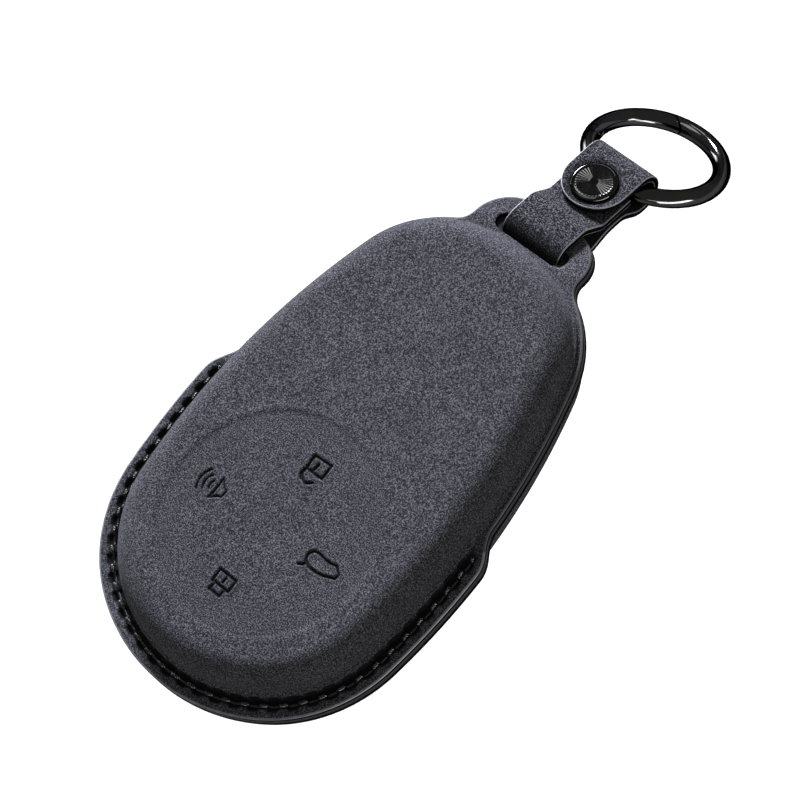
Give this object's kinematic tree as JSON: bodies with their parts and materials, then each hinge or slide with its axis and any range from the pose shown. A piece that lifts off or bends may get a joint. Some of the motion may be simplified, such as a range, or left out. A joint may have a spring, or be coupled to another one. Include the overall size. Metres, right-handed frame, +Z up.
{
  "type": "key fob cover",
  "caption": "Moulded suede shell cover for a pebble-shaped car key fob, sewn round its lower rim, with a snap strap and a spring-gate ring at its open end.",
  "frame": {"origin": "middle of the flat back face that the cover rests on", "axes": "+Z up out of the front face, +Y along the cover towards the strap and ring, +X to the right seen from the front"},
  "size_m": [0.0592, 0.1247, 0.0291],
  "materials": {
    "suede": "napped suede, matte",
    "core_board": "moulded board",
    "lining": "brushed lining",
    "thread": "waxed twisted thread",
    "strap_suede": "napped suede, cut edges",
    "black_metal": "black nickel plating",
    "snap_metal": "black nickel plating",
    "spring_steel": "bright wire"
  },
  "bodies": {
    "cover": {"front_skin": "suede", "front_core": "core_board", "front_lining": "lining", "rear_skin": "suede", "rear_core": "core_board", "rear_lining": "lining", "needle_thread": "thread", "bobbin_thread": "thread"},
    "strap": {"strap_loop": "strap_suede", "snap_stud": "snap_metal", "snap_post": "snap_metal"},
    "flap": {"strap_flap": "strap_suede", "snap_cap": "black_metal", "snap_socket": "snap_metal", "snap_spring": "spring_steel"},
    "ring": {"ring_body": "black_metal", "gate_pin": "black_metal"},
    "gate": {"ring_gate": "black_metal", "gate_plunger": "spring_steel", "gate_spring": "spring_steel"}
  },
  "joints": [
    {"name": "strap_swing", "type": "hinge", "parent": "cover", "child": "strap", "pos_m": [0, 0.04335, 0.0102], "axis": [1, 0, 0], "range_deg": [0, 15]},
    {"name": "flap_unsnap", "type": "hinge", "parent": "strap", "child": "flap", "pos_m": [0, 0.06258, 0.00612], "axis": [-1, 0, 0], "range_deg": [0, 120]},
    {"name": "ring_swing", "type": "hinge", "parent": "strap", "child": "ring", "pos_m": [0, 0.06154, 0.0026], "axis": [1, 0, 0], "range_deg": [-78, 121]},
    {"name": "gate_open", "type": "hinge", "parent": "ring", "child": "gate", "pos_m": [-0.01015, 0.06635, -0.00116], "axis": [0, -0.6157, -0.788], "range_deg": [0, 25], "stiffness_Nm_per_rad": 0.006, "springref_deg": -17.19}
  ]
}
